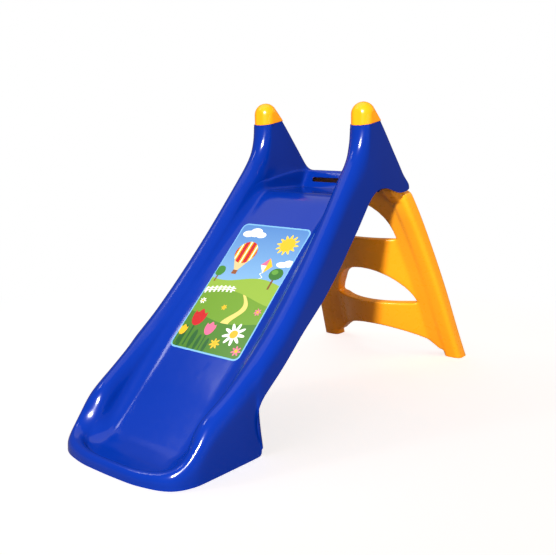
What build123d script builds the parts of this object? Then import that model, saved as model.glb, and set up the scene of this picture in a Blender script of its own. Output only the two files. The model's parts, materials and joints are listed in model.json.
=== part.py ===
"""Toddler slide: a blue moulded chute on a yellow hollow ladder that folds under it.

Millimetres. +Z is up, the floor is Z = 0, X runs across the slide and the exit
faces -Y. The origin is on the floor, under the middle of the whole slide.
"""
from build123d import *
import math
import os

os.makedirs("parts", exist_ok=True)

# ---------------------------------------------------------------- chute sizes
beyond = 400.0              # past anything that a cut has to reach
exit_y = -583.0             # front face of the exit lip
wall = 3.2                  # single moulded skin of the chute
overlap = 0.3               # how far neighbouring hollows run into each other, in walls
deck_half = 106.0           # half width of the flat sliding surface
skirt_flare = 4.0           # how far the side skirts lean out over their raw depth
skirt_depth = 215.0         # raw depth of the skirts, before their lower edge is cut
spur_toe = 4.0              # how far the spur's tip runs forward to the floor
wing_cut = 9.0              # depth of the cut under the wings, below their arch
raw_foot_z = 430.0          # raw foot of the wings and the seat, before the same cut
deck_top = (-30.0, 428.0)   # Y and Z of the deck at the label's upper edge
deck_slope = 0.9135         # rise of the straight deck per run
platform_z = 503.0          # seat level between the handles
platform_front = 60.0       # Y where the seat meets the slope
riser_foot = 225.0          # Y where the seat meets the back step
rim_z = 548.0               # top of the back step
rim_front = 251.0           # Y of the back step's front edge
seat_half = 124.0           # half width of the seat's own moulding
cavity_y = 240.0            # behind this, the back's lower edge is level
ledge_depth = 4.0           # ledge along the inside of each handle's foot
ledge_foot_y = 88.0         # Y where the ledge's front end rises from the seat
ledge_front = (104.0, 532.0)
ledge_rear_y = 229.0        # Y where the ledge reaches the back step's height
handle_x = 147.25           # centre plane of each handle
handle_width = 55.5
handle_inner = handle_x - handle_width / 2
handle_outer = handle_x + handle_width / 2
handle_front = 82.0         # Y of the handles' front faces
handle_foot_z = 592.0       # where the handles rise out of the rails
handle_top = 700.0          # raw height of the handles, above the cap joint
back_top = 128.5            # Y of the sloping back at handle_top
back_foot = (304.0, 510.0)  # Y and Z of the wing's lower back corner
front_round = 25.0          # rounding along the handles' fronts
back_round = 7.0            # rounding along the handles' backs
slot_half = 88.0            # grip slot in the back step
slot_height = 12.0
slot_z = 523.0
rib_depth = 7.0             # cross ribs under the deck
rib_thickness = 3.0
rib_places = [-60.0, -170.0, -280.0, -390.0]

# ------------------------------------------------------------------ cap sizes
cap_joint = (112.0, 673.0)  # Y and Z in the middle of the joint under each cap
cap_joint_tilt = 10.0       # degrees, the joint rises towards the back
cap_top = 722.5
cap_wall = 2.6
cap_shoulder = 34.5         # the cap's front is upright up to this far below its top
cap_proud = 4.0             # how far a cap stands out from the sloping back, along Y
cap_back_lean = math.radians(34.0)  # lean of the cap's back from upright
cap_skirt = 40.0            # raw depth of a cap below its crown, before the joint trims it
cap_round = 18.0
cap_boss_radius = 5.0
cap_screw_spacing = 30.0

# --------------------------------------------------------------- ladder sizes
ladder_wall = 3.0
leg_round = 20.0            # rounding of a leg's four long edges
upper_step = (360.0, 110.0, 110.0)   # tread Z, half width and height of the opening over it
lower_step = (166.0, 134.0, 103.0)
foot_arch = (18.0, 176.0, 74.0)      # the same for the arch between the feet
drain_radius = 4.0          # hole in each sole

# ---------------------------------------------------------------- hinge sizes
pivot_y = 258.0
pivot_z = 514.0
knuckle_radius = 25.0
knuckle_inner = 128.0       # X of the knuckle's two ends
knuckle_outer = 160.0
side_gap = 0.6              # play between the knuckle and what stands beside it
cheek_thickness = 4.5
cheek_radius = 15.0
boss_radius = 12.0
pin_radius = 5.0
pin_clearance = 0.05
bush_wall = 2.5
thread_radius = 3.5
thread_length = 8.0
insert_radius = 6.5
washer_radius = 9.5
washer_thickness = 1.2
head_radius = 8.0
head_height = 4.5
stop_gap = 0.4              # play between the ladder and its stop rib
stop_x = (136.0, 154.0)
stop_height = 9.0           # the stop rib hangs this far below the hinge axis

# --------------------------------------------------------- small screws, label
screw_radius = 2.0
screw_grip = 9.0            # screw length beyond the plate it clamps
screw_head_radius = 4.2
screw_head_height = 2.8
label_thickness = 0.4
label_gap = 0.3
label_half_width = 103.0
label_length = 372.0
label_round = 16.0


def deck_z(y):
    """Height of the straight deck at a place along the slide."""
    return deck_top[1] + deck_slope * (y - deck_top[0])


# Rail and deck along the slide: Y, rail centre X, rail top Z, deck Z, rail
# radius, half width of the deck, share of each half of the side curve that
# stays level.
stations = [
    (platform_front, handle_x, handle_foot_z, platform_z, handle_width / 2, 94.0, 0.95),
    (20.0, handle_x, 543.0, platform_z - 31.5, handle_width / 2, 100.0, 0.85),
    (-30.0, 149.5, 486.0, deck_z(-30.0), 28.0, deck_half, 0.75),
    (-110.0, 155.0, 397.0, deck_z(-110.0), 28.0, deck_half, 0.64),
    (-190.0, 160.5, 316.0, deck_z(-190.0), 28.0, deck_half, 0.60),
    (-270.0, 163.5, 244.0, deck_z(-270.0), 28.0, deck_half, 0.60),
    (-350.0, 163.0, 184.0, deck_z(-350.0), 28.0, deck_half, 0.66),
    (-420.0, 159.5, 138.0, deck_z(-420.0), 28.0, deck_half, 0.76),
    (-470.0, 156.0, 106.0, 32.0, 28.0, deck_half - 2, 0.80),
    (-490.0, 154.0, 86.0, 22.5, 28.0, 102.0, 0.78),
    (-511.0, 150.5, 64.0, 16.5, 27.0, 98.0, 0.74),
    (-533.0, 145.0, 44.0, 13.2, 25.0, 92.0, 0.66),
    (-549.0, 136.0, 33.0, 13.2, 22.0, 84.0, 0.60),
    (-562.0, 119.0, 27.5, 19.0, 17.0, 70.0, 0.55),
    (-571.0, 99.0, 25.0, 23.8, 13.0, 58.0, 0.50),
    (-578.0, 74.0, 22.0, 21.6, 10.0, 42.0, 0.50),
    (exit_y, 42.0, 14.0, 13.8, 8.0, 22.0, 0.50),
]

# Lower edge of the skirts and of the wings, Y and Z.
skirt_edge = [(104.0, 492.0), (43.0, 422.0), (-60.0, 325.0), (-183.0, 227.0), (-310.0, 142.0)]
spur_edge = [(-310.0, 142.0), (-351.0, 77.0), (-331.0, 14.0)]
arch_edge = [
    (104.0, 492.0), (126.0, 508.0), (163.0, 515.5),
    (205.0, 510.0), (250.0, 499.5), (280.0, 500.5),
]

# Leg centre line: Z, Y, X, then the leg's width and its depth along Y. Web
# between the legs: Z, its rear Y beside the legs, depth and half width of its
# scoop, thickness.
leg_stations = [
    (0.0, 556.0, 212.0, 52.0, 54.0),
    (90.0, 512.5, 201.5, 51.0, 54.0),
    (200.0, 461.0, 189.0, 50.0, 55.0),
    (300.0, 411.5, 176.0, 49.0, 57.0),
    (400.0, 356.0, 163.0, 48.0, 60.0),
    (450.0, 325.5, 156.5, 47.0, 62.0),
    (496.0, 299.0, 149.0, 42.0, 54.0),
]
web_stations = [
    (20.0, 570.0, 72.0, 130.0, 35.0),
    (165.0, 493.0, 60.0, 119.0, 35.0),
    (360.0, 388.0, 32.0, 93.0, 33.0),
    (440.0, 331.0, 12.0, 70.0, 22.0),
    (492.0, 287.0, 3.0, 50.0, 15.0),
]


def inset_path(points, depth):
    """Shift an open outline to its right-hand side by depth, with mitred corners."""
    normals = []
    for (y0, z0), (y1, z1) in zip(points, points[1:]):
        run = math.hypot(y1 - y0, z1 - z0)
        normals.append(((z1 - z0) / run, (y0 - y1) / run))
    shifted = []
    for index, (y, z) in enumerate(points):
        before = normals[max(index - 1, 0)]
        after = normals[min(index, len(normals) - 1)]
        share = depth / (1 + before[0] * after[0] + before[1] * after[1])
        shifted.append((y + share * (before[0] + after[0]), z + share * (before[1] + after[1])))
    return shifted


def mirrored(point):
    return (-point[0], point[1])


def back_y(z):
    """Y of the sloping back at a height."""
    return back_top + (handle_top - z) * (back_foot[0] - back_top) / (handle_top - back_foot[1])


def chute_section(station, slope, inset):
    """Face across the chute at one station, its skirts drawn well below their edge."""
    y, centre, crest, deck, radius, inner, share = station
    y = max(y, exit_y + inset)
    drop = inset * math.hypot(1, slope)
    top = crest - drop
    floor = min(deck - inset * math.hypot(1, deck_slope), top - 0.2)
    outer = centre + radius - inset
    upright = min(radius * math.hypot(1, slope), 0.8 * crest)
    flare = skirt_flare * min(1.0, (platform_front - y) / 90.0)
    level = share * (centre - inner)
    foot = (outer + flare, crest - skirt_depth - 10 * inset)
    side = (outer, crest - upright)
    low = (outer, crest - 0.45 * upright - 0.55 * drop)
    high = (centre + 0.55 * (radius - inset), top)
    with BuildSketch(Plane(origin=(0, y, 0), x_dir=(1, 0, 0), z_dir=(0, -1, 0))) as sketch:
        with BuildLine():
            Line(mirrored(foot), foot)
            Line(foot, side)
            Bezier(side, low, high, (centre, top))
            Bezier((centre, top), (centre - level, top), (inner + level, floor), (inner, floor))
            Line((inner, floor), (-inner, floor))
            Bezier((-inner, floor), (-inner - level, floor), (level - centre, top), (-centre, top))
            Bezier((-centre, top), mirrored(high), mirrored(low), mirrored(side))
            Line(mirrored(side), mirrored(foot))
        make_face()
    return sketch.sketch


def trough_form(inset):
    """The chute from the seat to the exit, lofted through its sections."""
    last = len(stations) - 1
    with BuildPart() as form:
        for index, station in enumerate(stations):
            low, high = stations[max(index - 1, 0)], stations[min(index + 1, last)]
            add(chute_section(station, (high[2] - low[2]) / (high[0] - low[0]), inset))
        loft()
    return form.part


def cap_plane(side):
    """Joint plane under a cap, its normal pointing up into the cap."""
    tilt = math.radians(cap_joint_tilt)
    origin = (side * handle_x, cap_joint[0], cap_joint[1])
    return Plane(origin=origin, x_dir=(1, 0, 0), z_dir=(0, -math.sin(tilt), math.cos(tilt)))


def wing_form(inset):
    """One handle and the wing under it, on the +X side."""
    path = [
        (platform_front, handle_foot_z),
        (handle_front - 11.5, handle_foot_z + 26),
        (handle_front - 4, handle_foot_z + 51),
        (handle_front, handle_top - 30),
        (handle_front, handle_top),
    ]
    front = inset_path(path, inset)
    front[0] = (platform_front - overlap * inset, handle_foot_z - inset)
    back = inset_path([(back_top, handle_top), back_foot], inset)
    low_z = raw_foot_z - 10 * inset
    with BuildPart() as form:
        with BuildSketch(Plane.YZ.offset(handle_inner + inset)):
            with BuildLine():
                rise = Spline(*front)
                Polyline(rise @ 1, back[0], back[1], (back[1][0], low_z), (front[0][0], low_z), rise @ 0)
            make_face()
        extrude(amount=handle_width - 2 * inset)
        fillet(form.edges().filter_by(GeomType.BSPLINE), radius=front_round - inset)
        slanted = form.edges().filter_by(GeomType.LINE).filter_by(is_back_edge)
        fillet(slanted, radius=back_round - inset)
        split(bisect_by=cap_plane(1).offset(-inset), keep=Keep.BOTTOM)
    return form.part


def is_back_edge(edge):
    """True for the long straight edges that run down the sloping back."""
    along = edge.tangent_at(0.5)
    return edge.length > 100 and 0.3 < abs(along.Z) < 0.95


def seat_form(inset):
    """Seat, back step and sloping back between the wings."""
    step = [(riser_foot, platform_z), (rim_front, rim_z), (back_y(rim_z), rim_z), back_foot]
    path = inset_path([(platform_front, platform_z), *step], inset)
    low_z = raw_foot_z - 10 * inset
    front_y = platform_front - overlap * inset
    with BuildPart() as form:
        with BuildSketch(Plane.YZ):
            Polygon((front_y, path[0][1]), *path[1:], (path[-1][0], low_z), (front_y, low_z), align=None)
        extrude(amount=seat_half + 0.5 * inset, both=True)
    return form.part


def ledge_form(inset):
    """Ledge beside the seat on the +X side, level with the back step at its rear."""
    low_z = raw_foot_z - 11 * inset
    ledge_z = rim_z - 1
    rear_y = rim_front + 8
    path = [
        (ledge_foot_y, low_z),
        (ledge_foot_y, platform_z),
        ledge_front,
        (ledge_rear_y, ledge_z),
        (rear_y, ledge_z),
        (rear_y, low_z),
    ]
    with BuildPart() as form:
        with BuildSketch(Plane.YZ.offset(handle_inner - ledge_depth + inset)):
            Polygon(*inset_path(path, inset), align=None)
        extrude(amount=seat_half - handle_inner + ledge_depth - 0.5 * inset)
    return form.part


def chute_forms(inset):
    """The solids whose union is the chute's outside, or its hollow."""
    sides = [wing_form(inset), ledge_form(inset)]
    return [trough_form(inset), seat_form(inset), *sides, *[mirror(form, about=Plane.YZ) for form in sides]]


def below_edge():
    """Everything under the lower edges of the skirts, the wings and the back."""
    toe_y = spur_edge[-1][0] - spur_toe
    low = (arch_edge[0][0], arch_edge[0][1] - wing_cut)
    with BuildPart() as below:
        with BuildSketch(Plane.YZ):
            with BuildLine():
                skirt = Spline(*skirt_edge)
                spur = ThreePointArc(*spur_edge)
                Polyline(spur @ 1, (toe_y, 0), (toe_y, -beyond), (beyond, -beyond))
                Polyline((beyond, -beyond), (beyond, skirt_edge[0][1]), skirt @ 0)
            make_face()
        extrude(amount=beyond, both=True)
        with BuildSketch(Plane.YZ.offset(seat_half)):
            with BuildLine():
                arch = Spline(*arch_edge)
                Polyline(arch @ 1, back_foot, (beyond, back_foot[1]), (beyond, low[1]), low, arch @ 0)
            make_face()
        extrude(amount=0.5 * beyond)
        mirror(about=Plane.YZ)
        with BuildSketch(Plane.YZ):
            with Locations((cavity_y, back_foot[1])):
                Rectangle(0.5 * beyond, 0.5 * beyond, align=(Align.MIN, Align.MAX))
        extrude(amount=seat_half, both=True)
        with BuildSketch():
            Rectangle(3 * beyond, 4 * beyond)
        extrude(amount=-0.9 * beyond)
    return below.part


def hinge_plane(side, x):
    """Plane across a hinge axis, its normal pointing away from the middle."""
    return Plane(origin=(side * x, pivot_y, pivot_z), x_dir=(0, side, 0), z_dir=(side, 0, 0))


cheek_inner = knuckle_inner - side_gap - cheek_thickness
boss_face = knuckle_outer + side_gap
bush_radius = pin_radius + pin_clearance + bush_wall
insert_length = thread_length + 1.0

deck_plane = Plane(
    origin=(0, deck_top[0], deck_top[1]),
    x_dir=(1, 0, 0),
    z_dir=(0, -math.sin(math.atan(deck_slope)), math.cos(math.atan(deck_slope))),
)

# ---------------------------------------------------------------------- chute
with BuildPart() as chute:
    for solid in chute_forms(0):
        add(solid)
    for solid in chute_forms(wall):
        add(solid, mode=Mode.SUBTRACT)
    add(below_edge(), mode=Mode.SUBTRACT)

    # grip slot through the back step
    with BuildSketch(Plane.XZ.offset(-riser_foot)):
        with Locations((0, slot_z)):
            SlotOverall(2 * slot_half, slot_height)
    extrude(amount=-30, mode=Mode.SUBTRACT)

    # cross ribs under the deck
    for place in rib_places:
        run = (place - deck_top[0]) * math.hypot(1, deck_slope)
        with BuildSketch(deck_plane.offset(-0.5 * wall)):
            with Locations((0, run)):
                Rectangle(2 * deck_half - 16, rib_thickness)
        extrude(amount=-0.5 * wall - rib_depth)

    for side in (1, -1):
        # hinge cheek, hanging under the back step beside the knuckle
        with BuildSketch(Plane.YZ.offset(side * cheek_inner)):
            step = [(riser_foot, platform_z), (rim_front, rim_z), (back_y(rim_z), rim_z), back_foot]
            rise = inset_path(step, 0.5 * wall)
            cheek_rear = (back_y(pivot_z + 6) - 0.5 * wall, pivot_z + 6)
            cheek_low = (pivot_y + 5, pivot_z - 10)
            cheek_front = (rise[0][0], platform_z - wall)
            Polygon(*rise[:3], cheek_rear, cheek_low, cheek_front, align=None)
            with Locations((pivot_y, pivot_z)):
                Circle(cheek_radius)
        extrude(amount=side * cheek_thickness)
        with BuildSketch(hinge_plane(side, cheek_inner)):
            Circle(pin_radius + pin_clearance)
        extrude(amount=cheek_thickness, mode=Mode.SUBTRACT)

        # blind boss on the wing's inside, for the threaded insert
        with BuildSketch(hinge_plane(side, boss_face)):
            Circle(boss_radius)
        extrude(amount=handle_outer - 0.5 * wall - boss_face)
        with BuildSketch(hinge_plane(side, boss_face)):
            Circle(insert_radius + pin_clearance)
        extrude(amount=insert_length, mode=Mode.SUBTRACT)

        # rib that stops the opened ladder
        stop_y = pivot_y + knuckle_radius + stop_gap
        with BuildSketch(Plane.YZ.offset(side * stop_x[0])):
            stop_rear = (back_y(pivot_z) - 0.5 * wall, pivot_z)
            stop_toe = (back_foot[0] - 4, back_foot[1] - 2)
            Polygon((stop_y, pivot_z - stop_height), (stop_y, pivot_z), stop_rear, stop_toe, align=None)
        extrude(amount=side * (stop_x[1] - stop_x[0]))

        # clearance holes for the cap screws
        with BuildSketch(cap_plane(side)):
            with GridLocations(0, cap_screw_spacing, 1, 2):
                Circle(screw_radius + 0.2)
        extrude(amount=-1.5 * wall, mode=Mode.SUBTRACT)
chute.part.label = "chute"
export_step(chute.part, "parts/chute.step")


# ----------------------------------------------------------------------- caps
def is_side_edge(edge):
    """True for edges that don't run straight across the slide."""
    return abs(edge.tangent_at(0.5).X) < 0.5


def cap_form(side, inset):
    """One cap's outside, or its hollow."""
    front, top = handle_front + inset, cap_top - inset
    shoulder = cap_top - cap_shoulder
    heel_z = shoulder - 6
    back = (back_y(heel_z) + cap_proud - inset, heel_z - 0.7 * inset)
    lean = (math.sin(cap_back_lean), -math.cos(cap_back_lean))
    heel = (back[0] + cap_skirt * lean[0], back[1] + cap_skirt * lean[1])
    with BuildPart() as form:
        with BuildSketch(Plane.YZ.offset(side * (handle_inner + inset))):
            with BuildLine():
                rise = [(front, shoulder), (front + 9, top - 11), (front + 28 - inset, top)]
                fall = [(front + 49 - 2 * inset, top - 13), back]
                crown = Spline(*rise, *fall, tangents=((0, 1), lean))
                Polyline(crown @ 1, heel, (front, heel[1]), crown @ 0)
            make_face()
        extrude(amount=side * (handle_width - 2 * inset))
        sides = form.edges().filter_by(is_side_edge)
        fillet(sides.group_by(Axis.Z)[1:], radius=cap_round - inset)
        split(bisect_by=cap_plane(side), keep=Keep.TOP)
    return form.part


for side, name in ((1, "left"), (-1, "right")):
    shape = cap_form(side, 0)
    with BuildPart() as handle_cap:
        add(shape)
        add(cap_form(side, cap_wall), mode=Mode.SUBTRACT)
        with BuildPart(mode=Mode.PRIVATE) as posts:
            with BuildSketch(cap_plane(side)):
                with GridLocations(0, cap_screw_spacing, 1, 2):
                    Circle(cap_boss_radius)
            extrude(amount=60)
            add(shape, mode=Mode.INTERSECT)
        add(posts.part)
        with BuildSketch(cap_plane(side)):
            with GridLocations(0, cap_screw_spacing, 1, 2):
                Circle(screw_radius + pin_clearance)
        extrude(amount=screw_grip + 1, mode=Mode.SUBTRACT)
    handle_cap.part.label = "handle_cap_" + name
    export_step(handle_cap.part, "parts/handle_cap_" + name + ".step")

    with BuildPart() as cap_screws:
        with BuildSketch(cap_plane(side).offset(-wall)):
            with GridLocations(0, cap_screw_spacing, 1, 2):
                Circle(screw_radius)
        extrude(amount=wall + screw_grip)
        with BuildSketch(cap_plane(side).offset(-wall)):
            with GridLocations(0, cap_screw_spacing, 1, 2):
                Circle(screw_head_radius)
        extrude(amount=-screw_head_height)
    cap_screws.part.label = "cap_screws_" + name
    export_step(cap_screws.part, "parts/cap_screws_" + name + ".step")


# --------------------------------------------------------------------- ladder
def leg_form(inset):
    """Both legs, lofted from the soles to just under the hinge."""
    with BuildPart() as form:
        for z, y, x, width, depth in leg_stations:
            level = min(max(z, inset), leg_stations[-1][0] - inset)
            with BuildSketch(Plane.XY.offset(level)):
                with Locations((x, y)):
                    RectangleRounded(width - 2 * inset, depth - 2 * inset, leg_round - inset)
        loft()
        mirror(about=Plane.YZ)
    return form.part


def web_form(inset):
    """The curved web between the legs, with its openings."""
    with BuildPart() as form:
        for z, rear, scoop, half, thick in web_stations:
            level = min(max(z, web_stations[0][0] + inset), web_stations[-1][0] - inset)
            end = leg_x(z)
            back, front = rear - inset, rear - thick + inset
            with BuildSketch(Plane.XY.offset(level)):
                with BuildLine():
                    Line((-end, back), (-half, back))
                    ThreePointArc((-half, back), (0, back - scoop), (half, back))
                    Line((half, back), (end, back))
                    Line((end, back), (end, front))
                    Line((end, front), (half + 15, front))
                    ThreePointArc((half + 15, front), (0, front - scoop), (-half - 15, front))
                    Line((-half - 15, front), (-end, front))
                    Line((-end, front), (-end, back))
                make_face()
        loft()
        for tread, half, height in (upper_step, lower_step, foot_arch):
            corner = (half + inset, tread - inset)
            with BuildSketch(Plane.XZ):
                with BuildLine():
                    ThreePointArc(mirrored(corner), (0, tread + height + inset), corner)
                    Line(corner, mirrored(corner))
                make_face()
            extrude(amount=-2 * beyond, mode=Mode.SUBTRACT)
    return form.part


def leg_x(z):
    """X of the leg's centre line at a height."""
    for low, high in zip(leg_stations, leg_stations[1:]):
        if z <= high[0]:
            break
    share = min(1.0, (z - low[0]) / (high[0] - low[0]))
    return low[2] + share * (high[2] - low[2])


def knuckle_form(side, inset):
    """Hinge knuckle and the neck that joins it to the top of its leg."""
    with BuildPart() as form:
        with BuildSketch(hinge_plane(side, knuckle_inner + inset)):
            Circle(knuckle_radius - inset)
            with Locations((0, -18)):
                Rectangle(2 * (knuckle_radius - inset), 36)
        extrude(amount=knuckle_outer - knuckle_inner - 2 * inset)
    return form.part


with BuildPart() as ladder:
    for inset, mode in ((0, Mode.ADD), (ladder_wall, Mode.SUBTRACT)):
        add(leg_form(inset), mode=mode)
        add(web_form(inset), mode=mode)
        for side in (1, -1):
            add(knuckle_form(side, inset), mode=mode)
    for side in (1, -1):
        with BuildSketch(hinge_plane(side, knuckle_inner)):
            Circle(bush_radius + ladder_wall)
        extrude(amount=knuckle_outer - knuckle_inner)
        with BuildSketch(hinge_plane(side, knuckle_inner)):
            Circle(bush_radius + pin_clearance)
        extrude(amount=knuckle_outer - knuckle_inner, mode=Mode.SUBTRACT)
    sole = (leg_stations[0][2], leg_stations[0][1])
    with BuildSketch():
        with Locations(sole, mirrored(sole)):
            Circle(drain_radius)
    extrude(amount=2 * ladder_wall, mode=Mode.SUBTRACT)
ladder.part.label = "ladder"
export_step(ladder.part, "parts/ladder.step")

# --------------------------------------------------------------------- hinges
for side, name in ((1, "left"), (-1, "right")):
    with BuildPart() as hinge_bush:
        with BuildSketch(hinge_plane(side, knuckle_inner)):
            Circle(bush_radius)
            Circle(pin_radius + pin_clearance, mode=Mode.SUBTRACT)
        extrude(amount=knuckle_outer - knuckle_inner)
    hinge_bush.part.label = "hinge_bush_" + name
    export_step(hinge_bush.part, "parts/hinge_bush_" + name + ".step")

    with BuildPart() as hinge_washer:
        with BuildSketch(hinge_plane(side, cheek_inner)):
            Circle(washer_radius)
            Circle(pin_radius + pin_clearance, mode=Mode.SUBTRACT)
        extrude(amount=-washer_thickness)
    hinge_washer.part.label = "hinge_washer_" + name
    export_step(hinge_washer.part, "parts/hinge_washer_" + name + ".step")

    head_face = cheek_inner - washer_thickness
    with BuildPart() as hinge_screw:
        with BuildSketch(hinge_plane(side, head_face)):
            Circle(head_radius)
        extrude(amount=-head_height)
        with BuildSketch(hinge_plane(side, head_face)):
            Circle(pin_radius)
        extrude(amount=boss_face - head_face - 0.1)
        with BuildSketch(hinge_plane(side, boss_face - 0.1)):
            Circle(thread_radius)
        extrude(amount=thread_length)
        with BuildSketch(hinge_plane(side, head_face - head_height)):
            RegularPolygon(0.45 * head_radius, 6)
        extrude(amount=0.6 * head_height, mode=Mode.SUBTRACT)
    hinge_screw.part.label = "hinge_screw_" + name
    export_step(hinge_screw.part, "parts/hinge_screw_" + name + ".step")

    with BuildPart() as hinge_insert:
        with BuildSketch(hinge_plane(side, boss_face)):
            Circle(insert_radius)
            Circle(thread_radius + pin_clearance, mode=Mode.SUBTRACT)
        extrude(amount=insert_length)
    hinge_insert.part.label = "hinge_insert_" + name
    export_step(hinge_insert.part, "parts/hinge_insert_" + name + ".step")

# ---------------------------------------------------------------- slide label
with BuildPart() as slide_label:
    with BuildSketch(deck_plane.offset(label_gap)):
        with Locations((0, -label_length / 2)):
            RectangleRounded(2 * label_half_width, label_length, label_round)
    extrude(amount=label_thickness)
slide_label.part.label = "slide_label"
export_step(slide_label.part, "parts/slide_label.step")
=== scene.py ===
# %% [markdown]
# # A toddler slide
#
# The slide is a blue moulded chute on a yellow ladder. Both are large, smooth
# plastic mouldings, so nearly all the work is in two surfaces: the skin of the
# chute, and the skin of the ladder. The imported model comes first, as a fixed
# frame that every new piece is placed against.

# %% Load the frame
import json
import math

import bpy
import bmesh
import numpy as np
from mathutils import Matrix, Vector

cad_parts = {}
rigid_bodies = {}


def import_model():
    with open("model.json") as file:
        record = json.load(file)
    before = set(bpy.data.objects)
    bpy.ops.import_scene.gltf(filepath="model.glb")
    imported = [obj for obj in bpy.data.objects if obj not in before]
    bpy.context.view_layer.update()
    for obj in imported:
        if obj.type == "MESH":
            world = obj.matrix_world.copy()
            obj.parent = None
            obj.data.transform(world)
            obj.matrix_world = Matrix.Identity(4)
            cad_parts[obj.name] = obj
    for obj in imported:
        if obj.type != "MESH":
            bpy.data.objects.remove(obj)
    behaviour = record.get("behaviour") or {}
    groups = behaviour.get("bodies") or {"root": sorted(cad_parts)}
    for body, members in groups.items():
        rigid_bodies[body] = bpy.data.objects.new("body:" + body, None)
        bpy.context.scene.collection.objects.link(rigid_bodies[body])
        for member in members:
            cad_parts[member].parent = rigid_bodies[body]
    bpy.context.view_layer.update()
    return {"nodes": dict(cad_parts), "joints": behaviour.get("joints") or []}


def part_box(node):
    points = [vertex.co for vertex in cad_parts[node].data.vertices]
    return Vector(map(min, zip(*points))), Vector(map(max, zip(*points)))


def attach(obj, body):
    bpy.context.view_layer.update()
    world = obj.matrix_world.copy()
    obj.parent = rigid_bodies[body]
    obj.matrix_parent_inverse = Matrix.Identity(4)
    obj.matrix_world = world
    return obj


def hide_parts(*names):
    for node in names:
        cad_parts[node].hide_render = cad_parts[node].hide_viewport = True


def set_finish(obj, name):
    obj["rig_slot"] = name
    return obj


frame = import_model()
MM = 0.001
print("frame loaded:", len(frame["nodes"]), "nodes")

# %% [markdown]
# ## Sizes taken from the frame
#
# The floor is Z = 0, the exit faces -Y, and the slide is symmetric about
# X = 0. The hinge's place comes from the record.

# %% Read the frame's own sizes
fold = frame["joints"][0]
hinge_y, hinge_z = fold["pos_m"][1] / MM, fold["pos_m"][2] / MM
chute_low, chute_high = (np.array(corner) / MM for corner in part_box("chute"))
cap_low, cap_high = (np.array(corner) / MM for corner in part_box("handle_cap_left"))
exit_y = chute_low[1]
handle_in, handle_out = cap_low[0], cap_high[0]
handle_x = (handle_in + handle_out) / 2
handle_half = (handle_out - handle_in) / 2
print("chute from", chute_low.round(1), "to", chute_high.round(1))


# %% [markdown]
# ## Lines that carry a surface
#
# A moulded skin has no edges to draw, only lines that its surface follows: the
# top of a rail, the foot of a wall, the lower edge of a skirt. Each line is a
# smooth curve through a few chosen points. Two kinds are needed: a spline that
# bends evenly, for long flowing lines, and a spline that never swings past its
# points, for edges with tight corners and for sizes such as a rounding.

# %% Smooth curves through points
def mirrored_ends(knots):
    """Knots with three mirror images in X at each end, so that a line crosses X = 0 squarely."""
    first, last = knots[0, 0], knots[-1, 0]
    before, after = knots[3:0:-1].copy(), knots[-2:-5:-1].copy()
    before[:, 0] = 2 * first - before[:, 0]
    after[:, 0] = 2 * last - after[:, 0]
    before[:, 1] *= -1
    after[:, 1] *= -1
    return np.vstack([before, knots, after])


def flowing(knots, t, across=True):
    """Natural cubic spline: one banded set of equations gives its bends, which change evenly."""
    knots = np.array(knots, float)
    if across:
        knots = mirrored_ends(knots)
    s, p = knots[:, 0], knots[:, 1:]
    h = np.diff(s)
    n = len(s)
    system = np.eye(n)
    inner = np.arange(1, n - 1)
    system[inner, inner - 1] = h[:-1]
    system[inner, inner] = 2 * (h[:-1] + h[1:])
    system[inner, inner + 1] = h[1:]
    slope = np.diff(p, axis=0) / h[:, None]
    right = np.zeros_like(p)
    right[1:-1] = 6 * np.diff(slope, axis=0)
    bend = np.linalg.solve(system, right)
    i = np.clip(np.searchsorted(s, t) - 1, 0, n - 2)
    a, b, w = (s[i + 1] - t)[:, None], (t - s[i])[:, None], h[i][:, None]
    curve = (bend[i] * a**3 + bend[i + 1] * b**3) / (6 * w)
    return curve + (p[i] / w - bend[i] * w / 6) * a + (p[i + 1] / w - bend[i + 1] * w / 6) * b


def steady(knots, t):
    """Monotone cubic: a knot's slope is the harmonic mean of those beside it, or 0 at a turn."""
    knots = np.array(knots, float)
    s, p = knots[:, 0], knots[:, 1:]
    h = np.diff(s)[:, None]
    slope = np.diff(p, axis=0) / h
    both = slope[:-1] * slope[1:]
    total = slope[:-1] + slope[1:]
    mean = np.where(both > 0, 2 * both / np.where(total == 0, 1, total), 0)
    m = np.vstack([slope[:1], mean, slope[-1:]])
    i = np.clip(np.searchsorted(s, t) - 1, 0, len(s) - 2)
    w = h[i]
    x = np.clip((t - s[i])[:, None] / w, 0, 1)
    start = p[i] * (1 + 2 * x) * (1 - x) ** 2 + m[i] * w * x * (1 - x) ** 2
    return start + p[i + 1] * x**2 * (3 - 2 * x) - m[i + 1] * w * x**2 * (1 - x)


# %% [markdown]
# ## Ribs across the skin
#
# The chute's skin is one sheet. Its rows are ribs that stand across a path:
# from the middle of the exit lip, up along a rail, over a handle, down the
# sloping back and in to the middle of the back step. Each rib is a bent line
# with seven points: skirt edge, outer top corner, inner top corner, the root
# and the edge of a narrow ledge, deck corner and the middle of the deck. Its
# corners are then rounded, each with its own two lengths. That is a profile
# carried along a path, where the profile changes as it goes.

# %% Rounded ribs
ROUND = 0.5523
TINY = 1e-6


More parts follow.
